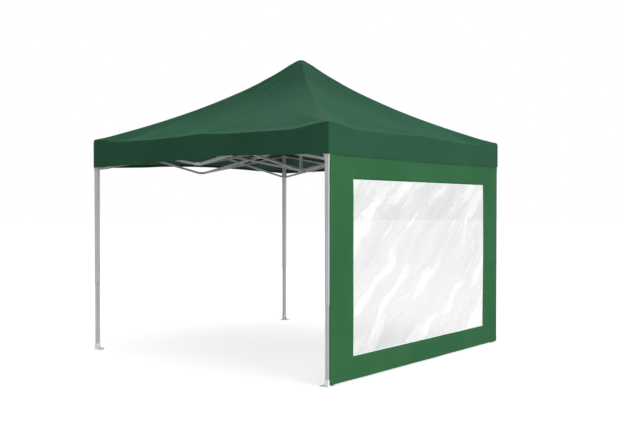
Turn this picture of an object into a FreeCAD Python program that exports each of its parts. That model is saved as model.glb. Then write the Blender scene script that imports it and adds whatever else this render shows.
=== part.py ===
import FreeCAD, Part
import math
import os
from FreeCAD import Vector as V

# Pop up canopy, 3 m by 3 m: a scissor frame on four telescoping legs under a sewn fabric cover
# with a peaked roof and valances, and one side wall with a clear window.
# Row frame: millimetres, +Z up, origin on the ground at the centre of the footprint.
# Sides are numbered 0 front (-Y), 1 right (+X), 2 back (+Y), 3 left (-X). Every side is the front
# side turned about Z, so each part is drawn once, for the front, in these terms:
# x runs along the side, y = -A is the plane of the side's legs, and z is up.

# ---- driving dimensions -------------------------------------------------
A = 1474.0            # leg axis to the centre, along X and along Y
OUTER = 40.0          # outer leg tube, square
OUTER_BORE = 37.0
OUTER_R = 4.0         # corner radius of the outer leg tube
INNER = 35.0          # inner leg tube, square
INNER_BORE = 32.0
INNER_R = 3.0
OUTER_BOTTOM = 660.0  # lower end of the outer tube
OUTER_TOP = 2070.0
HEAD_TOP = 2117.0
INNER_TOP = 930.0     # upper end of the inner tube, inside the outer one
FOOT_T = 5.0          # ground plate
FOOT_WING = 56.0      # how far the ground plate runs inward from the tube
SOCKET_H = 60.0
SOCKET_W = 41.0
STAKE_R = 5.5
ZT = 2090.0           # upper row of pivots
DEPTH = 250.0         # truss depth as put up: upper pivots above lower pivots
ZL = ZT - DEPTH
O_LEG = 60.0          # pivot to the axis of its leg or hub
O_MID = 36.0          # pivot to the axis of its mid-side knuckle
D = 8.5               # each bar's layer, off the plane of its scissor pair
BAR_H = 22.0
BAR_T = 12.0
BAR_WALL = 1.3
HOLE_R = 4.6          # pivot hole in a bar
PIN_R = 4.0
EAR_GAP = 6.5         # clevis ear's inner face, from the middle of its bar
EAR_T = 3.0
EAR_H = 11.0
SLEEVE_IN = 40.8      # slider's bore, square
SLEEVE_OUT = 50.0     # on the inward sides, where the clevises are
SLEEVE_WALL = 2.4     # on the outward sides, behind the fabric
SLEEVE_DOWN = 14.0
SLEEVE_UP = 46.0
MAST_R = 17.0
MAST_WALL = 1.5
MAST_BOTTOM = 1822.0
MAST_TOP = 2938.0
CAP_R = 46.0
PIN_Z = 667.5         # height of the pull pin that sets the leg's height
PULL_R = 3.4
# fabric
HALF = 1500.0         # roof half width at the eaves
EAVE = 2127.0
PEAK = 2976.0
VALANCE = 260.0
CLOTH = 1.4
PROFILE = ((1500.0, 2127.0), (1260.0, 2222.0), (1000.0, 2336.0), (740.0, 2470.0), (480.0, 2622.0), (240.0, 2790.0), (90.0, 2926.0))
WALL_X = 1497.2
WALL_T = 1.0
WALL_TOP = 1905.0
WALL_BOTTOM = 14.0
WIN_Y = 1160.0        # half width of the window opening
WIN_Z = (210.0, 1677.0)
WIN_LAP = 14.0        # the clear sheet laps the opening and is welded round it
WIN_T = 0.5

RUN = A - O_LEG - O_MID   # a bar's run along its scissor pair
BAR = math.hypot(RUN, DEPTH)
ANGLE = math.degrees(math.atan2(DEPTH, RUN))
print("bar length %.3f run %.3f angle %.4f" % (BAR, RUN, ANGLE))

NAMES = ("front", "right", "back", "left")
LEGS = ("front_left", "front_right", "back_right", "back_left")   # the leg at each side's x = -A end
Z = V(0, 0, 1)


def box(x0, x1, y0, y1, z0, z1):
    return Part.makeBox(x1 - x0, y1 - y0, z1 - z0, V(x0, y0, z0))


def cyl(r, p, d, length):
    return Part.makeCylinder(r, length, V(*p), V(*d))


def one(shapes):
    s = shapes[0]
    for t in shapes[1:]:
        s = s.fuse(t)
    return s.removeSplitter()


def solid_of(s):
    assert s.isValid() and len(s.Solids) == 1, (s.isValid(), len(s.Solids))
    return s.Solids[0]


def turned(s, k):
    c = s.copy()
    c.rotate(V(0, 0, 0), Z, 90.0 * k)
    return c


def square_tube(cx, cy, w, bore, r, z0, z1):
    outer = box(cx - w / 2, cx + w / 2, cy - w / 2, cy + w / 2, z0, z1)
    outer = outer.makeFillet(r, [e for e in outer.Edges if abs(e.tangentAt(e.FirstParameter).z) > 0.9])
    inner = box(cx - bore / 2, cx + bore / 2, cy - bore / 2, cy + bore / 2, z0 - 1, z1 + 1)
    ri = max(r - (w - bore) / 2, 0.6)
    inner = inner.makeFillet(ri, [e for e in inner.Edges if abs(e.tangentAt(e.FirstParameter).z) > 0.9])
    return outer.cut(inner)


# ---- a scissor bar: thin rectangular tube, three pivot holes, rounded ends
def plain_bar(carries_bolt):
    s = one([box(0, BAR, -BAR_T / 2, BAR_T / 2, -BAR_H / 2, BAR_H / 2),
             cyl(BAR_H / 2, (0, -BAR_T / 2, 0), (0, 1, 0), BAR_T),
             cyl(BAR_H / 2, (BAR, -BAR_T / 2, 0), (0, 1, 0), BAR_T)])
    w = BAR_WALL
    s = s.cut(box(-30, BAR + 30, -BAR_T / 2 + w, BAR_T / 2 - w, -BAR_H / 2 + w, BAR_H / 2 - w))
    for x, r in ((0, HOLE_R), (BAR / 2, PIN_R if carries_bolt else HOLE_R), (BAR, HOLE_R)):
        s = s.cut(cyl(r, (x, -BAR_T, 0), (0, 1, 0), 2 * BAR_T))
    return solid_of(s)


BAR_SHAPE = {True: plain_bar(True), False: plain_bar(False)}


def bar(x0, z0, y, down, carries_bolt):
    """A bar that starts at (x0, y, z0), runs along +x, and goes down or up to the far pivot."""
    s = BAR_SHAPE[carries_bolt].copy()
    s.rotate(V(0, 0, 0), V(0, 1, 0), ANGLE if down else -ANGLE)
    s.translate(V(x0, y, z0))
    return s


def bolt_y(x, y, z, half):
    """A pivot bolt along Y with a low head each end; half is its half length between the heads."""
    s = one([cyl(PIN_R, (x, y - half - 1, z), (0, 1, 0), 2 * half + 2),
             cyl(6.5, (x, y - half - 2, z), (0, 1, 0), 2),
             cyl(6.5, (x, y + half, z), (0, 1, 0), 2)])
    return solid_of(s)


def ears(x_from, x_pivot, y, z):
    """A clevis: two ears from x_from out to the pivot, either side of the bar in layer y."""
    out = []
    for s in (-1, 1):
        y0 = y + s * EAR_GAP if s > 0 else y - EAR_GAP - EAR_T
        plate = one([box(min(x_from, x_pivot), max(x_from, x_pivot), y0, y0 + EAR_T, z - EAR_H, z + EAR_H),
                     cyl(EAR_H, (x_pivot, y0, z), (0, 1, 0), EAR_T)])
        out.append(plate.cut(cyl(PIN_R, (x_pivot, y0 - 1, z), (0, 1, 0), EAR_T + 2)))
    return out


BOLT_HALF = EAR_GAP + EAR_T


def rot_about(s, angle, cx, cy):
    c = s.copy()
    c.rotate(V(cx, cy, 0), Z, angle)
    return c


def two_clevises(cx, cy, x_from, z, layer):
    """Ears and bolts for the leg at a corner: one clevis along +x in the front side's layer, and one
    that serves the next side, along +y, in the same layer of that side."""
    y = cy - layer
    e = ears(cx + x_from, cx + O_LEG, y, z)
    b = [bolt_y(cx + O_LEG, y, z, BOLT_HALF)]
    # the other side's clevis: mirror in the corner's diagonal
    def swap(s):
        m = s.copy()
        m.translate(V(-cx, -cy, 0))
        m = m.mirror(V(0, 0, 0), V(1, -1, 0))
        m.translate(V(cx, cy, 0))
        return m
    return e + [swap(s) for s in e], b + [swap(s) for s in b]


out = {}


def put(name, *solids):
    shape = solids[0] if len(solids) == 1 else Part.Compound(list(solids))
    assert shape.isValid(), name
    out[name] = shape


# ---- legs ----------------------------------------------------------------
def leg_outer():
    tube = solid_of(square_tube(-A, -A, OUTER, OUTER_BORE, OUTER_R, OUTER_BOTTOM, OUTER_TOP)
                    .fuse(cyl(7.0, (-A + OUTER / 2 - 0.5, -A, PIN_Z), (1, 0, 0), 7.5))
                    .cut(cyl(PULL_R + 0.4, (-A + 10, -A, PIN_Z), (1, 0, 0), 30)))
    e, b = two_clevises(-A, -A, OUTER / 2 - 0.5, ZT, D)
    block = box(-A - OUTER / 2, -A + OUTER / 2, -A - OUTER / 2, -A + OUTER / 2, OUTER_TOP, HEAD_TOP)
    block = block.makeFillet(OUTER_R, [x for x in block.Edges if abs(x.tangentAt(x.FirstParameter).z) > 0.9])
    top = [x for x in block.Edges if x.BoundBox.ZMin > HEAD_TOP - 0.01]
    block = block.makeFillet(3.0, top)
    w = OUTER_BORE / 2 - 0.3
    plug = box(-A - w, -A + w, -A - w, -A + w, OUTER_TOP - 45, OUTER_TOP)
    plug = plug.makeFillet(2.6, [x for x in plug.Edges if abs(x.tangentAt(x.FirstParameter).z) > 0.9])
    head = solid_of(one([block, plug] + e))
    return [tube, head] + b


def leg_inner():
    tube = square_tube(-A, -A, INNER, INNER_BORE, INNER_R, FOOT_T, INNER_TOP)
    for z in (PIN_Z, PIN_Z + 100.0, PIN_Z + 200.0):      # height holes
        tube = tube.cut(cyl(PULL_R + 0.6, (-A + 10, -A, z), (1, 0, 0), 20))
    tube = solid_of(tube)
    s = SOCKET_W / 2
    e = FOOT_WING + s
    # ground plate, with wings inward on both sides and a cut corner
    pts = [V(-A - s, -A - s, 0), V(-A + e, -A - s, 0), V(-A + e, -A + s * 0.6, 0), V(-A + s * 0.6, -A + e, 0),
           V(-A - s, -A + e, 0), V(-A - s, -A - s, 0)]
    plate = Part.Face(Part.makePolygon(pts)).extrude(V(0, 0, FOOT_T))
    ring = box(-A - s, -A + s, -A - s, -A + s, FOOT_T, SOCKET_H)
    ring = ring.makeFillet(3.0, [x for x in ring.Edges if abs(x.tangentAt(x.FirstParameter).z) > 0.9])
    h = INNER / 2
    hole = box(-A - h, -A + h, -A - h, -A + h, FOOT_T, SOCKET_H + 1)
    hole = hole.makeFillet(INNER_R, [x for x in hole.Edges if abs(x.tangentAt(x.FirstParameter).z) > 0.9])
    ring = ring.cut(hole)
    # two gussets from the socket down to the plate
    gus = []
    for m in (0, 1):
        g = Part.Face(Part.makePolygon([V(-A + s - 0.5, -A - 2, FOOT_T), V(-A + s + 26, -A - 2, FOOT_T),
                                        V(-A + s - 0.5, -A - 2, SOCKET_H - 14), V(-A + s - 0.5, -A - 2, FOOT_T)])).extrude(V(0, 4, 0))
        if m:
            g.translate(V(A, A, 0))
            g = g.mirror(V(0, 0, 0), V(1, -1, 0))
            g.translate(V(-A, -A, 0))
        gus.append(g)
    foot = one([plate, ring] + gus)
    for x, y in ((-A + s + 38, -A - 2), (-A - 2, -A + s + 38)):
        foot = foot.cut(cyl(STAKE_R, (x, y, -1), (0, 0, 1), FOOT_T + 2))
    return [tube, solid_of(foot)]


def slider():
    zs0, zs1 = ZL - SLEEVE_DOWN, ZL + SLEEVE_UP
    w, b = SLEEVE_OUT / 2, SLEEVE_IN / 2
    sleeve = box(-A - b - SLEEVE_WALL, -A + w, -A - b - SLEEVE_WALL, -A + w, zs0, zs1)
    sleeve = sleeve.makeFillet(2.5, [x for x in sleeve.Edges if abs(x.tangentAt(x.FirstParameter).z) > 0.9])
    bore = box(-A - b, -A + b, -A - b, -A + b, zs0 - 1, zs1 + 1)
    bore = bore.makeFillet(OUTER_R, [x for x in bore.Edges if abs(x.tangentAt(x.FirstParameter).z) > 0.9])
    e, bl = two_clevises(-A, -A, w - 0.5, ZL, -D)
    body = one([sleeve] + e).cut(bore)
    return [solid_of(body)] + bl


def height_pin():
    """Spring pull pin in the outer tube's inward face: a shaft through its housing and a knob."""
    x = -A + OUTER / 2
    p = one([cyl(PULL_R, (x - 1.7, -A, PIN_Z), (1, 0, 0), 10.0),
             cyl(6.5, (x + 7.4, -A, PIN_Z), (1, 0, 0), 6.0)])
    rim = [e for e in p.Edges if e.BoundBox.XMin > x + 13.3]
    return solid_of(p.makeFillet(1.5, rim))


def knuckle(upper):
    """Mid-side knuckle: a block with two clevises along the side and one toward the centre."""
    z = ZT if upper else ZL
    y_layer = -(A - D) if upper else -(A + D)
    x_layer = D if upper else -D
    h = 12.5
    blk = box(-20, 20, -A - 18.5, -A + 18.5, z - h, z + h)
    blk = blk.makeFillet(3.0, [x for x in blk.Edges if abs(x.tangentAt(x.FirstParameter).z) > 0.9])
    e, b = [], []
    for s in (-1, 1):
        e += ears(s * 18.0, s * O_MID, y_layer, z)
        b.append(bolt_y(s * O_MID, y_layer, z, BOLT_HALF))
    # toward the centre: draw along +x at the origin and turn to +y
    for piece in ears(16.0, O_MID, -x_layer, z):
        c = piece.copy()
        c.rotate(V(0, 0, 0), Z, 90)
        c.translate(V(0, -A, 0))
        e.append(c)
    c = bolt_y(O_MID, -x_layer, z, BOLT_HALF)
    c.rotate(V(0, 0, 0), Z, 90)
    c.translate(V(0, -A, 0))
    b.append(c)
    return [solid_of(one([blk] + e))] + b


def hub(upper):
    z = ZT if upper else ZL
    x_layer = -D if upper else D
    if upper:
        blk = box(-24, 24, -24, 24, z - 15, z + 22)
    else:
        blk = box(-24, 24, -24, 24, z - 38, z + 15)
    blk = blk.makeFillet(4.0, [x for x in blk.Edges if abs(x.tangentAt(x.FirstParameter).z) > 0.9])
    e, b = [], []
    for k in range(4):
        for piece in ears(20.0, O_LEG, x_layer, z):
            c = piece.copy()                       # along +x in layer y = x_layer: turn to -y
            c.rotate(V(0, 0, 0), Z, -90 + 90 * k)
            e.append(c)
        c = bolt_y(O_LEG, x_layer, z, BOLT_HALF)
        c.rotate(V(0, 0, 0), Z, -90 + 90 * k)
        b.append(c)
    body = one([blk] + e)
    if upper:
        body = body.cut(cyl(MAST_R, (0, 0, z - 60), (0, 0, 1), 120))
    else:
        body = body.cut(cyl(MAST_R + 0.9, (0, 0, MAST_BOTTOM - 4), (0, 0, 1), 120))
    return [solid_of(body)] + b


def mast():
    t = cyl(MAST_R, (0, 0, MAST_BOTTOM), (0, 0, 1), MAST_TOP - MAST_BOTTOM)
    t = solid_of(t.cut(cyl(MAST_R - MAST_WALL, (0, 0, MAST_BOTTOM - 1), (0, 0, 1), MAST_TOP - MAST_BOTTOM + 2)))
    prof = Part.makePolygon([V(0, 0, MAST_TOP), V(26, 0, MAST_TOP), V(CAP_R * 0.72, 0, MAST_TOP + 6), V(26, 0, MAST_TOP + 17),
                             V(12, 0, MAST_TOP + 25), V(0, 0, MAST_TOP + 27), V(0, 0, MAST_TOP)])
    cap = Part.Face(prof).revolve(V(0, 0, 0), Z, 360)
    cap = solid_of(cap if cap.ShapeType == "Solid" else Part.Solid(cap))
    return [t, cap]


# ---- fabric ---------------------------------------------------------------
def shell_between(lower, upper):
    """A closed thin solid from two matching rows of quads: lower[i][j] and upper[i][j]."""
    faces = []
    n, m = len(lower), len(lower[0])

    def tri(a, b, c):
        if (b - a).cross(c - a).Length > 1e-6:
            faces.append(Part.Face(Part.makePolygon([a, b, c, a])))

    def quad(a, b, c, d):
        tri(a, b, c)
        tri(a, c, d)
    for i in range(n - 1):
        for j in range(m - 1):
            quad(upper[i][j], upper[i][j + 1], upper[i + 1][j + 1], upper[i + 1][j])
            quad(lower[i][j], lower[i + 1][j], lower[i + 1][j + 1], lower[i][j + 1])
        quad(lower[i][0], upper[i][0], upper[i + 1][0], lower[i + 1][0])
        quad(lower[i][-1], lower[i + 1][-1], upper[i + 1][-1], upper[i][-1])
    for j in range(m - 1):
        quad(lower[0][j], lower[0][j + 1], upper[0][j + 1], upper[0][j])
        quad(lower[-1][j], upper[-1][j], upper[-1][j + 1], lower[-1][j + 1])
    sh = Part.makeShell(faces)
    sh.sewShape()
    s = Part.Solid(sh)
    if s.Volume < 0:
        s.reverse()
    assert s.isValid() and s.Volume > 0
    return s


GAP = 0.4     # the sewn seams, as a hairline between the panels


def roof_gore():
    lo, hi = [], []
    for r, z in PROFILE:
        w = r - GAP
        hi.append([V(-w, -r, z), V(w, -r, z)])
        lo.append([V(-w + CLOTH, -r + CLOTH * 0.2, z - CLOTH), V(w - CLOTH, -r + CLOTH * 0.2, z - CLOTH)])
    # the peak: a narrow end so that the four gores meet round the cap
    r, z = 6.0, PEAK
    hi.append([V(-r + GAP, -r, z), V(r - GAP, -r, z)])
    lo.append([V(-r + GAP + 0.8, -r, z - CLOTH), V(r - GAP - 0.8, -r, z - CLOTH)])
    return shell_between(lo, hi)


def valance():
    z1, z0 = EAVE - CLOTH - 0.6, EAVE - VALANCE
    y0, y1 = -HALF, -HALF + CLOTH
    w = HALF - GAP
    pts = [V(-w, y0, 0), V(w, y0, 0), V(w - CLOTH, y1, 0), V(-w + CLOTH, y1, 0), V(-w, y0, 0)]
    f = Part.Face(Part.makePolygon(pts))
    f.translate(V(0, 0, z0))
    return solid_of(f.extrude(V(0, 0, z1 - z0)))


def sidewall():
    w = HALF - 6.0
    s = box(WALL_X, WALL_X + WALL_T, -w, w, WALL_BOTTOM, WALL_TOP)
    return solid_of(s.cut(box(WALL_X - 1, WALL_X + WALL_T + 1, -WIN_Y, WIN_Y, *WIN_Z)))


def window():
    x = WALL_X + WALL_T
    return solid_of(box(x, x + WIN_T, -WIN_Y - WIN_LAP, WIN_Y + WIN_LAP, WIN_Z[0] - WIN_LAP, WIN_Z[1] + WIN_LAP))


# ---- assemble -------------------------------------------------------------
outer_set, inner_set, slider_set, button = leg_outer(), leg_inner(), slider(), height_pin()
up_set, low_set = knuckle(True), knuckle(False)
gore, val = roof_gore(), valance()

y_out, y_in = -(A + D), -(A - D)
bars = {
    "1a": (bar(-A + O_LEG, ZT, y_out, True, True), y_out, -A + O_LEG + RUN / 2),
    "1b": (bar(-A + O_LEG, ZL, y_in, False, False), y_in, None),
    "2a": (bar(O_MID, ZL, y_out, False, True), y_out, O_MID + RUN / 2),
    "2b": (bar(O_MID, ZT, y_in, True, False), y_in, None),
}


def centre_bar(down, layer):
    """A centre bar, drawn along +x from the knuckle and turned to +y."""
    s = bar(O_MID, ZT if down else ZL, -layer, down, not down)
    s.rotate(V(0, 0, 0), Z, 90)
    s.translate(V(0, -A, 0))
    return s


# crossing bolts: one through each pair, carried by the first bar of the pair
cross_z = (ZT + ZL) / 2



def cross_bolt(x, y, s):
    """The bolt carried by the bar in layer y + s * D: its head bears on that bar, a collar keeps the
    other bar off it, and the nut stands 0.5 mm clear of the other bar."""
    half = D + BAR_T / 2
    t = one([cyl(PIN_R, (x, y + s * (half + 1), cross_z), (0, -s, 0), 2 * half + 3.5),
             cyl(7.0, (x, y + s * (half + 2.5), cross_z), (0, -s, 0), 2.5),
             cyl(7.0, (x, y + s * (D - BAR_T / 2), cross_z), (0, -s, 0), 3.4),
             cyl(6.2, (x, y - s * (half + 0.5), cross_z), (0, -s, 0), 2.5)])
    return solid_of(t)


def cross_bolt_centre():
    """For the centre pair, whose bolt is carried by the bar in the layer x = -D."""
    c = cross_bolt(O_MID + RUN / 2, 0, 1)
    c.rotate(V(0, 0, 0), Z, 90)
    c.translate(V(0, -A, 0))
    return c


for k, side in enumerate(NAMES):
    leg = LEGS[k]
    put("leg_outer_" + leg, *[turned(s, k) for s in outer_set])
    put("leg_inner_" + leg, *[turned(s, k) for s in inner_set])
    put("slider_" + leg, *[turned(s, k) for s in slider_set])
    put("height_pin_" + leg, turned(button, k))
    put("knuckle_upper_" + side, *[turned(s, k) for s in up_set])
    put("knuckle_lower_" + side, *[turned(s, k) for s in low_set])
    for tag, (shape, y, bx) in bars.items():
        extra = [turned(cross_bolt(bx, -A, -1), k)] if bx is not None else []
        put("bar_%s_%s" % (side, tag), turned(shape, k), *extra)
    put("bar_centre_%s_a" % side, turned(centre_bar(False, -D), k), turned(cross_bolt_centre(), k))
    put("bar_centre_%s_b" % side, turned(centre_bar(True, D), k))
    put("roof_gore_" + side, turned(gore, k))
    put("valance_" + side, turned(val, k))

put("centre_hub_upper_with_mast", *(hub(True) + mast()))
put("centre_hub_lower", *hub(False))
put("sidewall", sidewall())
put("sidewall_window", window())

os.makedirs("parts", exist_ok=True)
for f in os.listdir("parts"):
    if f.endswith(".step") and f[:-5] not in out:
        os.remove(os.path.join("parts", f))
for name, shape in out.items():
    shape.exportStep(os.path.join("parts", name + ".step"))
box_all = Part.Compound(list(out.values())).BoundBox
print(len(out), "nodes; box", [round(v, 2) for v in (box_all.XMin, box_all.XMax, box_all.YMin, box_all.YMax, box_all.ZMin, box_all.ZMax)])
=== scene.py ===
import math
import bpy
import bmesh
import numpy as np
from mathutils import Matrix, Vector


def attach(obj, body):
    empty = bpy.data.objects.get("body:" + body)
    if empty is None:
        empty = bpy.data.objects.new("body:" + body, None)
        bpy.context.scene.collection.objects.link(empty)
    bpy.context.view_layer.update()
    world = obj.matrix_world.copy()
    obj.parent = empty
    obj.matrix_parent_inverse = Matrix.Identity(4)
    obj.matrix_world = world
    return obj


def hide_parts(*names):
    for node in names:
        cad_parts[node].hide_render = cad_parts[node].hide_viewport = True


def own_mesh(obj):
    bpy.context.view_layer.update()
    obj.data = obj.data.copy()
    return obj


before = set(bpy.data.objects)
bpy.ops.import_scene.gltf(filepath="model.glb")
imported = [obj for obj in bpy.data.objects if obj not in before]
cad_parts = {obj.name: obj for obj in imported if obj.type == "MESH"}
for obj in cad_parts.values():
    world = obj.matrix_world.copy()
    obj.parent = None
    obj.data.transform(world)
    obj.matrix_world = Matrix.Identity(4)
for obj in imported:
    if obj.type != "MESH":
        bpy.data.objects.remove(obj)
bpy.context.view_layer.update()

SIDES = ("front", "right", "back", "left")
LEGS = ("front_left", "front_right", "back_right", "back_left")
HALF = 1.5            # roof half width at the eaves
PEAK = 2.978
A, OL, OM, D = 1.474, 0.060, 0.036, 0.0085
RUN = A - OL - OM
ZT, ZL = 2.090, 1.840


# ------------------------------------------------------------------ materials
class Nodes:
    """A small helper for building node materials."""

    def __init__(self, name):
        self.mat = bpy.data.materials.new(name)
        self.mat.use_nodes = True
        self.t = self.mat.node_tree
        self.t.nodes.clear()
        self.out = self.t.nodes.new("ShaderNodeOutputMaterial")
        self.bsdf = self.t.nodes.new("ShaderNodeBsdfPrincipled")
        self.link(self.bsdf, "BSDF", self.out, "Surface")

    def link(self, a, ao, b, bi):
        self.t.links.new(a.outputs[ao], b.inputs[bi])

    def node(self, kind, **props):
        n = self.t.nodes.new(kind)
        for k, v in props.items():
            setattr(n, k, v)
        return n

    def math(self, op, a, b=None, clamp=False):
        n = self.node("ShaderNodeMath", operation=op, use_clamp=clamp)
        for i, v in enumerate((a, b)):
            if v is None:
                continue
            if isinstance(v, (int, float)):
                n.inputs[i].default_value = v
            else:
                self.t.links.new(v, n.inputs[i])
        return n.outputs[0]

    def noise(self, vec, scale, detail=3.0, rough=0.55):
        n = self.node("ShaderNodeTexNoise")
        n.inputs["Scale"].default_value = scale
        n.inputs["Detail"].default_value = detail
        n.inputs["Roughness"].default_value = rough
        if vec is not None:
            self.t.links.new(vec, n.inputs["Vector"])
        return n.outputs["Fac"]

    def ramp(self, fac, stops):
        n = self.node("ShaderNodeValToRGB")
        while len(n.color_ramp.elements) < len(stops):
            n.color_ramp.elements.new(0.5)
        for e, (p, c) in zip(n.color_ramp.elements, stops):
            e.position = p
            e.color = (*c, 1.0) if len(c) == 3 else c
        self.t.links.new(fac, n.inputs["Fac"])
        return n.outputs["Color"]

    def bump(self, height, strength, distance, normal=None):
        n = self.node("ShaderNodeBump")
        n.inputs["Strength"].default_value = strength
        n.inputs["Distance"].default_value = distance
        self.t.links.new(height, n.inputs["Height"])
        if normal is not None:
            self.t.links.new(normal, n.inputs["Normal"])
        return n.outputs["Normal"]

    def set(self, **v):
        for k, x in v.items():
            self.bsdf.inputs[k.replace("_", " ")].default_value = x


def fabric(name, dark, light, stitch, rough=0.62, weave=1.0, sheen=0.05):
    """Coated plain-weave polyester: weave and stitch rows from the piece's own metre UVs."""
    n = Nodes(name)
    uv = n.node("ShaderNodeUVMap", uv_map="UVMap").outputs["UV"]
    obj = n.node("ShaderNodeTexCoord").outputs["Object"]
    sep = n.node("ShaderNodeSeparateXYZ")
    n.t.links.new(uv, sep.inputs[0])
    pitch = 2 * math.pi / 0.0011
    warp = n.math("SINE", n.math("MULTIPLY", sep.outputs["X"], pitch))
    weft = n.math("SINE", n.math("MULTIPLY", sep.outputs["Y"], pitch))
    plain = n.math("MULTIPLY", warp, weft)
    # colour: broad dye variation, faint slubs along both threads, a little weave contrast
    broad = n.noise(obj, 1.6, 4.0)
    m1 = n.node("ShaderNodeMapping")
    m1.inputs["Scale"].default_value = (14.0, 900.0, 1.0)
    n.t.links.new(uv, m1.inputs["Vector"])
    slub1 = n.noise(m1.outputs["Vector"], 1.0, 2.0)
    m2 = n.node("ShaderNodeMapping")
    m2.inputs["Scale"].default_value = (900.0, 14.0, 1.0)
    n.t.links.new(uv, m2.inputs["Vector"])
    slub2 = n.noise(m2.outputs["Vector"], 1.0, 2.0)
    slub = n.math("ADD", slub1, slub2)
    fac = n.math("ADD", n.math("MULTIPLY", broad, 0.55), n.math("MULTIPLY", slub, 0.16))
    fac = n.math("ADD", fac, n.math("MULTIPLY", plain, 0.03 * weave))
    col = n.ramp(fac, [(0.25, dark), (0.62, light)])
    # stitch rows: SeamUV x runs along the seam, y is the distance from it
    suv = n.node("ShaderNodeUVMap", uv_map="SeamUV").outputs["UV"]
    s2 = n.node("ShaderNodeSeparateXYZ")
    n.t.links.new(suv, s2.inputs[0])
    rows = None
    for d in (0.003, 0.011):
        near = n.math("LESS_THAN", n.math("ABSOLUTE", n.math("SUBTRACT", s2.outputs["Y"], d)), 0.00055)
        rows = near if rows is None else n.math("ADD", rows, near, clamp=True)
    dash = n.math("LESS_THAN", n.math("FRACT", n.math("DIVIDE", s2.outputs["X"], 0.0042)), 0.72)
    mask = n.math("MULTIPLY", rows, dash)
    mix = n.node("ShaderNodeMix", data_type="RGBA")
    n.t.links.new(mask, mix.inputs[0])
    n.t.links.new(col, mix.inputs[6])
    mix.inputs[7].default_value = (*stitch, 1.0)
    n.link(mix, 2, n.bsdf, "Base Color")
    pucker = n.noise(suv, 95.0, 2.0)
    band = n.math("SUBTRACT", 1.0, n.math("DIVIDE", s2.outputs["Y"], 0.022), clamp=True)
    h = n.math("ADD", n.math("MULTIPLY", plain, 0.00010 * weave), n.math("MULTIPLY", n.math("MULTIPLY", pucker, band), 0.0016))
    h = n.math("ADD", h, n.math("MULTIPLY", mask, 0.0004))
    h = n.math("ADD", h, n.math("MULTIPLY", n.noise(obj, 7.0, 3.0), 0.0022))
    n.t.links.new(n.bump(h, 0.55, 1.0), n.bsdf.inputs["Normal"])
    r = n.math("ADD", n.math("MULTIPLY", n.noise(obj, 9.0, 3.0), 0.12), rough - 0.06)
    n.t.links.new(r, n.bsdf.inputs["Roughness"])
    n.set(Specular_IOR_Level=0.025, Sheen_Weight=sheen, Sheen_Roughness=0.32)
    n.bsdf.inputs["Sheen Tint"].default_value = (0.25, 0.90, 0.52, 1.0)
    return n.mat


def painted(name, base, rough=0.36, metallic=0.0, wear=(0.55, 0.55, 0.56), coat=0.25):
    """Powder-coated or bare metal tube: orange-peel bump, faint length-wise marks, light scuffs."""
    n = Nodes(name)
    obj = n.node("ShaderNodeTexCoord").outputs["Object"]
    m = n.node("ShaderNodeMapping")
    m.inputs["Scale"].default_value = (30.0, 30.0, 2.0)
    n.t.links.new(obj, m.inputs["Vector"])
    streak = n.noise(m.outputs["Vector"], 4.0, 3.0)
    scuff = n.noise(obj, 46.0, 5.0, 0.7)
    dark = tuple(c * 0.86 for c in base)
    c1 = n.ramp(streak, [(0.30, dark), (0.62, base)])
    mix = n.node("ShaderNodeMix", data_type="RGBA")
    n.t.links.new(n.math("MULTIPLY", n.math("GREATER_THAN", scuff, 0.69), 0.45), mix.inputs[0])
    n.t.links.new(c1, mix.inputs[6])
    mix.inputs[7].default_value = (*wear, 1.0)
    n.link(mix, 2, n.bsdf, "Base Color")
    peel = n.noise(obj, 420.0, 2.0)
    h = n.math("ADD", n.math("MULTIPLY", peel, 0.00006), n.math("MULTIPLY", streak, 0.00006))
    n.t.links.new(n.bump(h, 0.5, 1.0), n.bsdf.inputs["Normal"])
    r = n.math("ADD", n.math("MULTIPLY", scuff, 0.22), rough - 0.11)
    n.t.links.new(r, n.bsdf.inputs["Roughness"])
    n.set(Metallic=metallic, Coat_Weight=coat, Coat_Roughness=0.25)
    return n.mat


def moulded(name, base, rough=0.55):
    """Moulded plastic or cast part: fine texture and slightly worn colour."""
    n = Nodes(name)
    obj = n.node("ShaderNodeTexCoord").outputs["Object"]
    f = n.noise(obj, 35.0, 4.0)
    n.t.links.new(n.ramp(f, [(0.3, tuple(c * 0.85 for c in base)), (0.7, tuple(min(1, c * 1.12) for c in base))]), n.bsdf.inputs["Base Color"])
    h = n.math("MULTIPLY", n.noise(obj, 700.0, 2.0), 0.00012)
    n.t.links.new(n.bump(h, 0.6, 1.0), n.bsdf.inputs["Normal"])
    n.t.links.new(n.math("ADD", n.math("MULTIPLY", f, 0.2), rough - 0.1), n.bsdf.inputs["Roughness"])
    return n.mat


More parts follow.
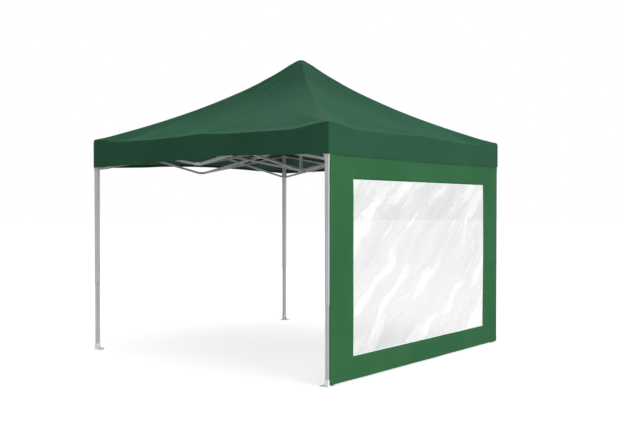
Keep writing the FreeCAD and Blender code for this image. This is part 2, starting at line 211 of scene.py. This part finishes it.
def clear_film(name):
    """Clear flexible film: slightly hazy, with whitened creases that run with the drags in the mesh; the whitening is
    partly the film's own crease whitening and partly a painted reflection of the light along the creases.
    SeamUV x runs along the drags and y across them."""
    n = Nodes(name)
    suv = n.node("ShaderNodeUVMap", uv_map="SeamUV").outputs["UV"]
    m = n.node("ShaderNodeMapping")
    m.inputs["Scale"].default_value = (0.7, 3.4, 1.0)
    n.t.links.new(suv, m.inputs["Vector"])
    warp = n.noise(suv, 1.3, 2.0)
    add = n.node("ShaderNodeVectorMath", operation="ADD")
    comb = n.node("ShaderNodeCombineXYZ")
    n.t.links.new(n.math("MULTIPLY", warp, 1.6), comb.inputs["Y"])
    n.t.links.new(m.outputs["Vector"], add.inputs[0])
    n.t.links.new(comb.outputs[0], add.inputs[1])
    crease = n.noise(add.outputs[0], 1.0, 4.0, 0.55)
    ridge = n.math("SUBTRACT", 1.0, n.math("MULTIPLY", n.math("ABSOLUTE", n.math("SUBTRACT", crease, 0.52)), 16.0), clamp=True)
    ridge = n.math("MULTIPLY", ridge, ridge)
    h = n.math("ADD", n.math("MULTIPLY", crease, 0.012), n.math("MULTIPLY", ridge, 0.0012))
    n.t.links.new(n.bump(h, 0.6, 1.0), n.bsdf.inputs["Normal"])
    # partly painted reflection: the crease pattern is drawn whiter and more opaque, both for the film's own whitening
    # and for the light the creases catch
    haze_and_painted_glint = n.math("MULTIPLY", n.math("SUBTRACT", crease, 0.42), 0.9, clamp=True)
    uv = n.node("ShaderNodeUVMap", uv_map="UVMap").outputs["UV"]
    us = n.node("ShaderNodeSeparateXYZ")
    n.t.links.new(uv, us.inputs[0])
    e1 = n.math("SUBTRACT", n.math("ABSOLUTE", us.outputs["X"]), 1.160 - 0.008)
    e2 = n.math("SUBTRACT", n.math("ABSOLUTE", n.math("SUBTRACT", us.outputs["Y"], 0.9435)), 0.7335 - 0.008)
    edge = n.math("GREATER_THAN", n.math("MAXIMUM", e1, e2), 0.0)
    weld = n.node("ShaderNodeMix", data_type="RGBA")
    n.t.links.new(edge, weld.inputs[0])
    weld.inputs[7].default_value = (0.62, 0.66, 0.63, 1.0)
    n.t.links.new(n.ramp(haze_and_painted_glint, [(0.0, (0.34, 0.345, 0.343)), (0.22, (0.72, 0.73, 0.725))]), weld.inputs[6])
    n.link(weld, 2, n.bsdf, "Base Color")
    a = n.math("ADD", n.math("ADD", 0.27, n.math("MULTIPLY", haze_and_painted_glint, 0.45)), n.math("MULTIPLY", ridge, 0.12), clamp=True)
    a = n.math("MAXIMUM", a, n.math("MULTIPLY", edge, 0.85))
    n.t.links.new(a, n.bsdf.inputs["Alpha"])
    n.set(Roughness=0.13, Specular_IOR_Level=0.5)
    return n.mat


COVER = fabric("cover_fabric", (0.0115, 0.044, 0.0245), (0.0185, 0.067, 0.0375), (0.011, 0.042, 0.024), rough=0.50, sheen=0.16)
INSIDE = fabric("cover_inside", (0.040, 0.074, 0.046), (0.068, 0.118, 0.078), (0.03, 0.08, 0.05), rough=0.5)
# painted light: the side wall uses a lighter, yellower copy of the cover fabric, so it looks more brightly lit than
# the roof and valances
WALL_LIT = fabric("wall_fabric", (0.016, 0.070, 0.027), (0.025, 0.099, 0.040), (0.030, 0.12, 0.055))
FILM = clear_film("clear_film")
TUBE = painted("leg_paint", (0.46, 0.473, 0.487), metallic=0.25)
TUBE_IN = painted("inner_leg_paint", (0.43, 0.442, 0.455), rough=0.32, metallic=0.35)
BARS = painted("bar_metal", (0.33, 0.34, 0.35), rough=0.38, metallic=0.35)
CAST = moulded("joint_casting", (0.36, 0.37, 0.38))
FOOT = painted("foot_metal", (0.66, 0.67, 0.69), rough=0.42)
BOLT = painted("bolt_zinc", (0.62, 0.62, 0.60), rough=0.30, metallic=0.9, coat=0.0)
CORE = moulded("tube_inside", (0.30, 0.31, 0.32), rough=0.6)


# ------------------------------------------------- finishes on the CAD pieces
def unturn(p, k):
    x, y, z = p
    for _ in range(k % 4):
        x, y = y, -x
    return x, y, z


def near_bolt(p, axis, centre, inner):
    """True on a bolt's shaft or heads: axis 0 for X, 1 for Y, inner is half the space between its heads."""
    d = [p[i] - centre[i] for i in range(3)]
    off = abs(d[axis])
    rad = math.hypot(*[d[i] for i in range(3) if i != axis])
    return rad < 0.0075 and off > inner - 0.00012 and off < inner + 0.0042 or rad < 0.0042 and off < inner


def paint_node(name, k, base, bolts=(), rule=None):
    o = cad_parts[name]
    me = o.data
    me.materials.clear()
    mats = [base, BOLT, FOOT, CORE, CAST]
    for m in mats:
        me.materials.append(m)
    mw = o.matrix_world
    for p in me.polygons:
        c = unturn(tuple(mw @ p.center), k)
        i = 0
        if rule:
            i = rule(c)
        for ax, ctr, inner in bolts:
            if near_bolt(c, ax, ctr, inner):
                i = 1
        p.material_index = i
    return o


def all_nodes(start):
    return [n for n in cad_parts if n.startswith(start)]


for k, side in enumerate(SIDES):
    leg = LEGS[k]
    head = [(1, (-A + OL, -A - D, ZT), 0.0095), (0, (-A - D, -A + OL, ZT), 0.0095)]
    paint_node("leg_outer_" + leg, k, TUBE, head, lambda c: 4 if c[2] > 2.0702 or max(abs(c[0] + A), abs(c[1] + A)) > 0.0215 and c[2] > 2.0 else 0)
    paint_node("leg_inner_" + leg, k, TUBE_IN, (), lambda c: 2 if c[2] < 0.0605 and max(abs(c[0] + A), abs(c[1] + A)) > 0.0176 or c[2] < 0.0052 else 0)
    paint_node("slider_" + leg, k, CAST, [(1, (-A + OL, -A + D, ZL), 0.0095), (0, (-A + D, -A + OL, ZL), 0.0095)])
    paint_node("height_pin_" + leg, k, BOLT)
    for up, z, dy, dx in ((True, ZT, D, D), (False, ZL, -D, -D)):
        b = [(1, (s * OM, -A + dy, z), 0.0095) for s in (-1, 1)] + [(0, (dx, -A + OM, z), 0.0095)]
        paint_node("knuckle_%s_%s" % ("upper" if up else "lower", side), k, CAST, b)
    for tag, x in (("1a", -A + OL + RUN / 2), ("1b", None), ("2a", OM + RUN / 2), ("2b", None)):
        b = [] if x is None else [(1, (x, -A, (ZT + ZL) / 2), 0.0145)]
        paint_node("bar_%s_%s" % (side, tag), k, BARS, b)
    paint_node("bar_centre_%s_a" % side, k, BARS, [(0, (0, -A + OM + RUN / 2, (ZT + ZL) / 2), 0.0145)])
    paint_node("bar_centre_%s_b" % side, k, BARS)
for name, z in (("centre_hub_upper_with_mast", ZT), ("centre_hub_lower", ZL)):
    dx = -D if "upper" in name else D
    b = []
    for k in range(4):
        x, y = dx, -OL
        for _ in range(k):
            x, y = -y, x
        b.append((k % 2, (x, y, z), 0.0095))
    paint_node(name, 0, CAST, b, (lambda c: 0 if abs(c[2] - ZT) < 0.024 else (4 if c[2] > 2.9379 else 5)) if "upper" in name else None)
    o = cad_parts[name]
    if "upper" in name:
        o.data.materials.append(BARS)


# --------------------------------------------------------------- cloth meshes
def turn(P, k):
    P = np.array(P, float)
    for _ in range(k % 4):
        P[..., 0], P[..., 1] = -P[..., 1].copy(), P[..., 0].copy()
    return P


def grid_mesh(name, P, UV, SUV, mat, skip=None, thick=0.0009, flip=False, inner=None):
    """A smooth sheet through the grid P[i, j], with metre UVs; skip marks cells left open."""
    n, m = P.shape[:2]
    idx = np.arange(n * m).reshape(n, m)
    a, b, c, d = idx[:-1, :-1].ravel(), idx[:-1, 1:].ravel(), idx[1:, 1:].ravel(), idx[1:, :-1].ravel()
    quads = np.stack([a, b, c, d], 1) if not flip else np.stack([a, d, c, b], 1)
    if skip is not None:
        quads = quads[~skip.ravel()]
    used = np.unique(quads)
    remap = -np.ones(n * m, int)
    remap[used] = np.arange(len(used))
    quads = remap[quads]
    co = P.reshape(-1, 3)[used]
    me = bpy.data.meshes.new(name)
    me.from_pydata(co.tolist(), [], quads.tolist())
    me.update()
    loops = quads.ravel()
    for nm, W in (("UVMap", UV), ("SeamUV", SUV)):
        lay = me.uv_layers.new(name=nm)
        lay.data.foreach_set("uv", W.reshape(-1, 2)[used][loops].astype(np.float32).ravel())
    me.polygons.foreach_set("use_smooth", [True] * len(quads))
    me.materials.append(mat)
    if inner is not None:
        me.materials.append(inner)
    o = bpy.data.objects.new(name, me)
    bpy.context.scene.collection.objects.link(o)
    s = o.modifiers.new("thickness", "SOLIDIFY")
    s.thickness = thick
    s.offset = -1.0
    if inner is not None:
        s.material_offset = 1
    return o


def smooth(x):
    x = np.clip(x, 0, 1)
    return x * x * (3 - 2 * x)


def spline(xs, ys, x):
    """Monotone cubic through the points, as plain numpy."""
    xs, ys = np.asarray(xs, float), np.asarray(ys, float)
    h = np.diff(xs)
    d = np.diff(ys) / h
    m = np.empty_like(xs)
    m[1:-1] = np.where(d[:-1] * d[1:] > 0, 2 * d[:-1] * d[1:] / (d[:-1] + d[1:] + 1e-12), 0)
    m[0], m[-1] = d[0], d[-1]
    i = np.clip(np.searchsorted(xs, x) - 1, 0, len(h) - 1)
    t = (x - xs[i]) / h[i]
    return ((2 * t**3 - 3 * t**2 + 1) * ys[i] + (t**3 - 2 * t**2 + t) * h[i] * m[i]
            + (-2 * t**3 + 3 * t**2) * ys[i + 1] + (t**3 - t**2) * h[i] * m[i + 1])


HIP_R = [0.0, 0.018, 0.045, 0.090, 0.165, 0.240, 0.360, 0.480, 0.740, 1.000, 1.260, 1.430, 1.500]
HIP_Z = [2.978, 2.9755, 2.957, 2.9215, 2.8530, 2.7910, 2.7000, 2.6190, 2.4640, 2.3330, 2.2200, 2.1560, 2.1370]


def hip_z(r):
    return spline(HIP_R, HIP_Z, r)


def crest_drop(s, k):
    """How far the eave sags below its corners: held up at the corners and at the middle knuckle."""
    a = np.abs(s)
    d = spline([0, 0.03, 0.10, 0.25, 0.42, 0.60, 0.75, 0.84, 0.92, 0.97, 1.0],
               [0.022, 0.023, 0.030, 0.038, 0.042, 0.041, 0.037, 0.024, 0.007, 0.002, 0.0], a)
    ph = 0.9 * k
    return d + 0.0012 * np.sin(11 * s + ph) * smooth((1 - a) * 6) * smooth(a * 9)


def roll(s, k):
    """Radius of the roll from roof to valance."""
    a = np.abs(s)
    soft = np.exp(-((a - 0.78) / 0.16) ** 2)
    left = 1.0 if k in (0, 2, 3) else 0.7
    return 0.020 + 0.026 * soft * np.where(s < 0, left, 0.55)


# height of each valance's hem along its side, from its left corner to its right one seen from outside
HEM = (
    ((-1, -0.75, -0.42, -0.10, 0.25, 0.50, 0.80, 1), (1.8500, 1.8560, 1.8680, 1.8850, 1.8985, 1.8915, 1.8790, 1.8740)),
    ((-1, -0.60, -0.10, 0.30, 0.70, 1), (1.8740, 1.8705, 1.8690, 1.8720, 1.8745, 1.8780)),
    ((-1, -0.40, 0.20, 0.60, 1), (1.8780, 1.8900, 1.8980, 1.8930, 1.8850)),
    ((-1, -0.85, -0.65, -0.45, -0.20, 0.05, 0.35, 0.55, 0.85, 1), (1.8850, 1.8930, 1.9000, 1.9100, 1.9120, 1.9110, 1.8950, 1.8730, 1.8570, 1.8500)),
)


def hem(s, k):
    xs, zs = HEM[k]
    return spline(xs, zs, s) + 0.0018 * np.sin(9 * s + k) * smooth((1 - np.abs(s)) * 5)


CORNER = 0.013


def outline(s, r):
    """Plan position of the front side's line at distance r from the centre, with a rounded corner."""
    R = np.minimum(CORNER, 0.12 * r)
    L = r - R
    q = np.abs(s) * (L + R * math.pi / 4)
    a = np.clip((q - L) / np.maximum(R, 1e-9), 0, math.pi / 4)
    x = np.where(q < L, q, L + R * np.sin(a))
    y = np.where(q < L, r, L + R * np.cos(a))
    return np.sign(s) * x, -y, q


def roof_height(s, r, k):
    a = np.abs(s)
    rho = roll(s, k)
    edge = HALF - rho
    z = hip_z(r)
    w = np.exp(-(np.clip(edge - r, 0, 9) / 0.24) ** 1.25)
    z = z - (crest_drop(s, k) + hip_z(edge) - HIP_Z[-1]) * w
    t = r / HALF
    # between the hips the panel hangs a little low; it pulls straight again toward the peak
    z = z - 0.030 * (1 - a**2.2) * 4 * np.clip(t, 0, 1) * (1 - np.clip(t, 0, 1)) * (0.55 + 0.45 * t)
    # soft pull lines: fans from both corners, from the middle knuckle and down from the peak
    x, y, _ = outline(s, r)
    for sx, amp, ph in ((-1, 0.0085 if k == 0 else 0.0055, 0.4), (1, 0.0050, 1.7)):
        dx, dy = sx * HALF - x, y + HALF
        dist = np.hypot(dx, dy)
        ang = np.arctan2(np.abs(dy), np.abs(dx) + 1e-6)
        fan = np.sin(9.5 * ang + ph + k) + 0.45 * np.sin(17 * ang + 2.1 * ph)
        z = z + amp * fan * np.exp(-dist / 0.42) * smooth(dist / 0.16) * smooth((1 - a) * 40)
    dx, dy = x, y + HALF
    dist = np.hypot(dx, dy)
    ang = np.arctan2(dy, dx)
    z = z + 0.0030 * np.sin(8 * ang + 0.6 * k) * np.exp(-dist / 0.30) * smooth(dist / 0.10)
    z = z + 0.0028 * np.sin(6.5 * s * 2 + 0.7 + k) * smooth((1 - a) * 5) * np.exp(-((r - 0.26) / 0.20) ** 2) * smooth(r / 0.12)
    z = z + 0.0030 * np.sin(5.2 * x + 3.1 * y + k) * smooth((1 - a) * 4) * smooth((HALF - r) / 0.3) * smooth(r / 0.3)
    return z


def s_values(n, corner=8):
    """Positions along a side, closer together at the two rounded corners."""
    body = np.linspace(-1, 1, n)
    ends = 1 - np.linspace(0, CORNER * 1.2 / HALF, corner)[:-1]
    s = np.unique(np.round(np.concatenate([body, ends, -ends]), 7))
    return s


def cumulative(P, axis):
    d = np.linalg.norm(np.diff(P, axis=axis), axis=-1)
    z = np.zeros_like(np.take(d, [0], axis))
    return np.concatenate([z, np.cumsum(d, axis)], axis)


ROLL_SPLIT = math.radians(68)   # the roof ends here on the roll, and the valance starts

CAP_SEAM = 0.300                # the reinforcing patch sewn over the peak ends here


def gore_grid(k):
    s = s_values(97)
    rr = np.concatenate([np.linspace(0.0, 0.12, 10)[:-1], np.linspace(0.12, CAP_SEAM - 0.004, 10),
                         np.linspace(CAP_SEAM + 0.004, 1.0, 30)])
    rho = roll(s, k)
    rows = []
    for r in rr:
        R = np.full_like(s, r)
        x, y, q = outline(s, R)
        z = roof_height(s, R, k)
        if r < CAP_SEAM:
            z = z + 0.0016
        rows.append(np.stack([x, y, z], 1))
    edge = HALF - rho
    for f in np.linspace(0, 1, 24)[1:]:
        R = 1.0 + (edge - 1.0) * (1 - (1 - f) ** 1.5)
        x, y, q = outline(s, R)
        rows.append(np.stack([x, y, roof_height(s, R, k)], 1))
    zc = roof_height(s, edge, k)
    for f in np.linspace(0, 1, 7)[1:]:
        phi = ROLL_SPLIT * f
        R = edge + rho * math.sin(phi)
        x, y, q = outline(s, R)
        rows.append(np.stack([x, y, zc - rho * (1 - math.cos(phi))], 1))
    P = np.array(rows)
    return s, P, zc, rho


roofs, valances = [], []
for k, side in enumerate(SIDES):
    s, P, zc, rho = gore_grid(k)
    v = cumulative(P, 0)
    u = P[..., 0]
    UV = np.stack([u + 2.0 * k, v], -1)
    along = cumulative(P, 0)
    hip_d = (np.abs(P[..., 1]) - np.abs(P[..., 0])) / math.sqrt(2)
    cap = np.abs(np.abs(P[..., 1]) - CAP_SEAM) + np.where(np.abs(P[..., 1]) > CAP_SEAM, 0.02, 0)
    use_cap = cap < hip_d
    SUV = np.stack([np.where(use_cap, P[..., 0], along), np.where(use_cap, cap, np.abs(hip_d))], -1)
    o = grid_mesh("roof_panel_" + side, turn(P, k), UV, SUV, COVER, inner=INSIDE, flip=True)
    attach(o, "roof_gore_" + side)
    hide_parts("roof_gore_" + side)
    axis = tuple(turn([1.0, 0.0, 0.0], k))
    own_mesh(o)
    roofs.append(o)

    # valance: a lap sewn under the roof's edge, then from the roll down to the hem, which folds up behind
    rows = []
    for f in np.linspace(0, 1, 6)[:-1]:
        phi = math.radians(12) + (ROLL_SPLIT - math.radians(14)) * f
        r_in = rho - 0.0032 + 0.0008 * f
        x, y, q = outline(s, HALF - rho + r_in * math.sin(phi))
        rows.append(np.stack([x, y, zc - rho + r_in * math.cos(phi)], 1))
    for f in np.linspace(0, 1, 5):
        phi = ROLL_SPLIT + (math.pi / 2 - ROLL_SPLIT) * f
        R = HALF - rho + rho * math.sin(phi)
        x, y, q = outline(s, R)
        rows.append(np.stack([x, y, zc - rho * (1 - math.cos(phi))], 1))
    top = zc - rho
    bottom = hem(s, k)
    for f in np.linspace(0, 1, 22)[1:]:
        z = top + (bottom - top) * f
        calm = 0.45 if k == 1 else 1.0        # the wall behind keeps its side quieter
        wave = calm * (0.0068 + 0.0036 * np.sin(7.3 * s + 1.1 * k) + 0.0022 * np.sin(15.1 * s + 2.0 * k + 0.6) + 0.0010 * np.sin(31 * s + k))
        wave = wave * smooth(f * 1.4) * smooth((1 - np.abs(s)) * 7)
        pull = -0.0012 * np.exp(-((f - 0.25) / 0.22) ** 2) * smooth((1 - np.abs(s)) * 5) * smooth(np.abs(s) * 5)
        R = HALF + 0.0022 + wave + pull
        x, y, q = outline(s, R)
        rows.append(np.stack([x, y, z], 1))
    R_last = R
    for dy, dz in ((0.0006, -0.0012), (-0.0012, -0.0016), (-0.0026, -0.0004), (-0.0030, 0.004), (-0.0030, 0.014), (-0.0026, 0.022)):
        x, y, q = outline(s, R_last + dy)
        rows.append(np.stack([x, y, bottom + dz], 1))
    V_ = np.array(rows)
    v = cumulative(V_, 0)
    q = np.broadcast_to(V_[..., 0], v.shape)
    UV = np.stack([q + 2.0 * k + 0.37, v], -1)
    from_hem = np.abs(V_[..., 2] - (bottom + 0.006))
    corner = (HALF - np.abs(V_[..., 0]))
    use_c = corner < from_hem
    SUV = np.stack([np.where(use_c, V_[..., 2], V_[..., 0]), np.where(use_c, corner, from_hem)], -1)
    o = grid_mesh("valance_cloth_" + side, turn(V_, k), UV, SUV, COVER, inner=INSIDE, flip=True)
    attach(o, "valance_" + side)
    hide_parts("valance_" + side)
    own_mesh(o)
    valances.append(o)


# a small reinforcing cap sewn over the tip, which stays on the mast's head as the panels fold
s_cap = np.linspace(-1, 1, 13)
cols, uvs = [], []
for k in range(4):
    rows = []
    for r in np.array([0.0, 0.006, 0.012, 0.018, 0.025, 0.032, 0.038, 0.0430, 0.0433]):
        x, y, q = outline(s_cap, np.full_like(s_cap, r))
        z = roof_height(s_cap, np.full_like(s_cap, min(r, 0.0430)), k)
        up = 0.0018 if r <= 0.0430 else -0.0004
        rows.append(np.stack([x, y, z + up], 1))
    cols.append(turn(np.array(rows), k)[:, :-1])
P = np.concatenate(cols + [cols[0][:, :1]], 1)
rad = np.broadcast_to(np.linspace(0, 0.043, P.shape[0])[:, None], P.shape[:2])
around = np.broadcast_to(np.linspace(0, 0.40, P.shape[1])[None, :], P.shape[:2])
cap = grid_mesh("peak_cap", P, np.stack([P[..., 0] + 9.0, P[..., 1]], -1), np.stack([around, 0.043 - rad], -1), COVER, flip=True, thick=0.0008)
bm = bmesh.new()
bm.from_mesh(cap.data)
bmesh.ops.remove_doubles(bm, verts=bm.verts, dist=1e-5)
bm.to_mesh(cap.data)
bm.free()
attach(cap, "centre_hub_upper_with_mast")


# ------------------------------------------------------------- side wall cloth
WY, WZ0, WZ1 = 1.480, 0.016, 1.905
OY, OZ0, OZ1 = 1.160, 0.210, 1.677


def steps(points, per):
    out = [points[0]]
    for a, b in zip(points[:-1], points[1:]):
        n = max(1, int(round((b - a) / per)))
        out += list(a + (b - a) * np.arange(1, n + 1) / n)
    return np.array(out)


def wall_x(y, z):
    """The wall's plane with its slack: tight at the legs and under the valance, easing out between."""
    fy = smooth((1 - np.abs(y) / WY) * 5)
    fz = smooth((1.83 - z) / 0.35)
    bulge = 0.0045 * fy * fz * (0.6 + 0.4 * np.cos(1.9 * y + 0.4) * np.cos(2.4 * z))
    ripple = (0.0016 * np.sin(11 * y + 1.5 * z) + 0.0012 * np.sin(5.0 * z + 7.0 * y + 1.0)) * fy * fz
    tug = 0.0022 * np.sin(26 * z + 3 * y) * np.exp(-(WY - np.abs(y)) / 0.10) * smooth((WY - np.abs(y)) / 0.03) * fz
    return 1.4974 + bulge + ripple + tug


seam_y = 1.183
ys = steps([-WY, -WY + 0.022, -seam_y - 0.006, -seam_y, -seam_y + 0.006, -OY, OY, seam_y - 0.006, seam_y, seam_y + 0.006, WY - 0.022, WY], 0.026)
zs = steps([WZ0, WZ0 + 0.004, WZ0 + 0.030, OZ0, OZ1, 1.80, WZ1], 0.026)
Y, Zg = np.meshgrid(ys, zs)
X = wall_x(Y, Zg)
raised = 0.0007 * (np.exp(-((np.abs(Y) - seam_y) / 0.0075) ** 2)) + 0.0010 * smooth((WZ0 + 0.032 - Zg) / 0.004) + 0.0008 * smooth((np.abs(Y) - (WY - 0.024)) / 0.004)
P = np.stack([X + raised, Y, Zg], -1)
cy, cz = (ys[:-1] + ys[1:]) / 2, (zs[:-1] + zs[1:]) / 2
CY, CZ = np.meshgrid(cy, cz)
skip = (np.abs(CY) < OY) & (CZ > OZ0) & (CZ < OZ1)
UV = np.stack([Y, Zg], -1)
d_seam = np.minimum(np.abs(np.abs(Y) - seam_y), np.abs(WY - 0.020 - np.abs(Y)))
d_hem = np.abs(Zg - (WZ0 + 0.026))
d_win = np.maximum(np.maximum(np.abs(Y) - OY, OZ0 - Zg), Zg - OZ1)
d_win = np.where(d_win >= -1e-6, np.abs(d_win), 9)
dd = np.minimum(np.minimum(d_seam, d_hem), d_win)
vertical = (d_seam <= d_hem) & (d_seam <= d_win) | (d_win < d_hem) & (np.abs(Y) - OY > np.maximum(OZ0 - Zg, Zg - OZ1))
SUV = np.stack([np.where(vertical, Zg, Y), dd], -1)
wall = grid_mesh("side_wall_cloth", P, UV, SUV, WALL_LIT, skip=skip)
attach(wall, "knuckle_upper_right")
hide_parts("sidewall")
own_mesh(wall)

# window film: laps behind the wall's edges, with diagonal drags and a shipping crease
LAP = 0.014
yw = np.linspace(-OY - LAP, OY + LAP, 231)
zw = np.linspace(OZ0 - LAP, OZ1 + LAP, 151)
Yw, Zw = np.meshgrid(yw, zw)
inside = smooth((OY - np.abs(Yw)) / 0.07) * smooth(np.minimum(Zw - OZ0, OZ1 - Zw) / 0.06)
TILT = math.radians(40)
rng = np.random.default_rng(11)
h = np.zeros_like(Yw)
along_all = Yw * math.cos(TILT) + Zw * math.sin(TILT)
across_all = -Yw * math.sin(TILT) + Zw * math.cos(TILT)
# long drags from the lower left up to the right, closer together toward the right edge
for i in range(34):
    cy0 = rng.uniform(-1.1, 1.15) if i % 2 else rng.uniform(0.25, 1.15)
    cz0 = rng.uniform(0.25, 1.62)
    t = TILT + rng.normal(0, 0.16) + (0.35 if cy0 > 0.75 else 0.0)
    al = (Yw - cy0) * math.cos(t) + (Zw - cz0) * math.sin(t)
    ac = -(Yw - cy0) * math.sin(t) + (Zw - cz0) * math.cos(t)
    bend = rng.uniform(-0.16, 0.16)
    ac = ac - bend * al * al
    width, length = rng.uniform(0.014, 0.045), rng.uniform(0.16, 0.55)
    amp = rng.uniform(0.10, 0.22) * width * rng.choice([-1, 1, 1])
    h = h + amp * np.exp(-(ac / width) ** 2) * np.exp(-(al / length) ** 2)
# short puckers in the upper left and down the left edge
for i in range(22):
    cy0, cz0 = (rng.uniform(-1.12, -0.55), rng.uniform(1.30, 1.66)) if i < 12 else (rng.uniform(-1.15, -0.98), rng.uniform(0.30, 1.5))
    t = rng.uniform(-0.5, 0.15)
    al = (Yw - cy0) * math.cos(t) + (Zw - cz0) * math.sin(t)
    ac = -(Yw - cy0) * math.sin(t) + (Zw - cz0) * math.cos(t)
    width, length = rng.uniform(0.012, 0.026), rng.uniform(0.05, 0.16)
    h = h + rng.uniform(0.10, 0.20) * width * rng.choice([-1, 1]) * np.exp(-(ac / width) ** 2) * np.exp(-(al / length) ** 2)
h = h + 0.0014 * np.sin(6.0 * across_all + 0.5) + 0.0010 * np.sin(13.0 * across_all + 2.0 * along_all)
h = h - 0.0010 * np.exp(-((Zw - 0.47) / 0.012) ** 2)      # the crease left by packing
Xw = wall_x(Yw, Zw) - 0.0016 + h * inside
P = np.stack([Xw, Yw, Zw], -1)
UV = np.stack([Yw, Zw], -1)
SUV = np.stack([along_all, across_all], -1)
film = grid_mesh("window_film", P, UV, SUV, FILM, thick=0.0005)
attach(film, "knuckle_upper_right")
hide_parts("sidewall_window")
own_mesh(film)


# ------------------------------------------------------------------- the stage
floor_mat = Nodes("floor")
floor_mat.set(Base_Color=(0.35, 0.35, 0.35, 1.0), Roughness=0.9, Specular_IOR_Level=0.0, Emission_Color=(1.0, 1.0, 1.0, 1.0), Emission_Strength=0.66)
bpy.ops.mesh.primitive_plane_add(size=160, location=(0, 0, -0.0005))
floor = bpy.context.object
floor.name = "floor"
floor.data.materials.append(floor_mat.mat)

world = bpy.data.worlds.new("world")
bpy.context.scene.world = world
world.use_nodes = True
bg = world.node_tree.nodes["Background"]
bg.inputs["Color"].default_value = (1.0, 1.0, 1.0, 1.0)
# a white backdrop on one side of the studio and a dimmer room on the other
wt = world.node_tree
tc = wt.nodes.new("ShaderNodeTexCoord")
dot = wt.nodes.new("ShaderNodeVectorMath")
dot.operation = "DOT_PRODUCT"
dot.inputs[1].default_value = (-0.62, 0.78, 0.12)
wt.links.new(tc.outputs["Generated"], dot.inputs[0])
mr = wt.nodes.new("ShaderNodeMapRange")
mr.interpolation_type = "SMOOTHSTEP"
for i, v in enumerate((-0.35, 0.45, 0.24, 1.0)):
    mr.inputs[i + 1].default_value = v
wt.links.new(dot.outputs["Value"], mr.inputs["Value"])
# the backdrop is white to look at, but the surfaces mirror a dimmer room
lp = wt.nodes.new("ShaderNodeLightPath")
for ray, level in (("Is Glossy Ray", 0.10), ("Is Camera Ray", 1.0)):
    mix = wt.nodes.new("ShaderNodeMix")
    wt.links.new(lp.outputs[ray], mix.inputs[0])
    wt.links.new(mr.outputs["Result"] if ray == "Is Glossy Ray" else last, mix.inputs[2])
    mix.inputs[3].default_value = level
    last = mix.outputs[0]
wt.links.new(last, bg.inputs["Strength"])


def area_light(name, loc, target, size, power, colour=(1, 1, 1)):
    d = bpy.data.lights.new(name, "AREA")
    d.shape = "SQUARE"
    d.size = size
    d.energy = power
    d.color = colour
    o = bpy.data.objects.new(name, d)
    bpy.context.scene.collection.objects.link(o)
    o.location = loc
    o.rotation_euler = (Vector(target) - Vector(loc)).to_track_quat("-Z", "Y").to_euler()
    return o


sun = bpy.data.lights.new("overhead", "SUN")
sun.energy = 2.45
sun.angle = math.radians(84)
sun_o = bpy.data.objects.new("overhead", sun)
bpy.context.scene.collection.objects.link(sun_o)
sun_o.rotation_euler = Vector((-0.50, 0.10, -0.86)).to_track_quat("-Z", "Y").to_euler()
area_light("key", (9.5, -2.0, 4.0), (1.5, 0, 1.0), 5.0, 465).visible_glossy = False
area_light("strip", (9.0, 8.0, 3.2), (1.5, 0, 1.0), 1.6, 90)
area_light("back", (-4.6, 5.6, 8.9), (0, -0.5, 2.1), 4.0, 60)

cam_data = bpy.data.cameras.new("camera")
cam_data.sensor_width = 36.0
cam_data.sensor_fit = "HORIZONTAL"
cam_data.lens = 49.456
cam_data.clip_end = 400
cam = bpy.data.objects.new("camera", cam_data)
bpy.context.scene.collection.objects.link(cam)
cam.location = (5.5906, -6.8912, 1.4406)
yaw, pitch = 0.672206, -0.014351
cam.rotation_euler = (math.pi / 2 + pitch, 0.0, yaw)
bpy.context.scene.camera = cam
bpy.context.scene.view_settings.view_transform = "Standard"

bpy.context.view_layer.update()
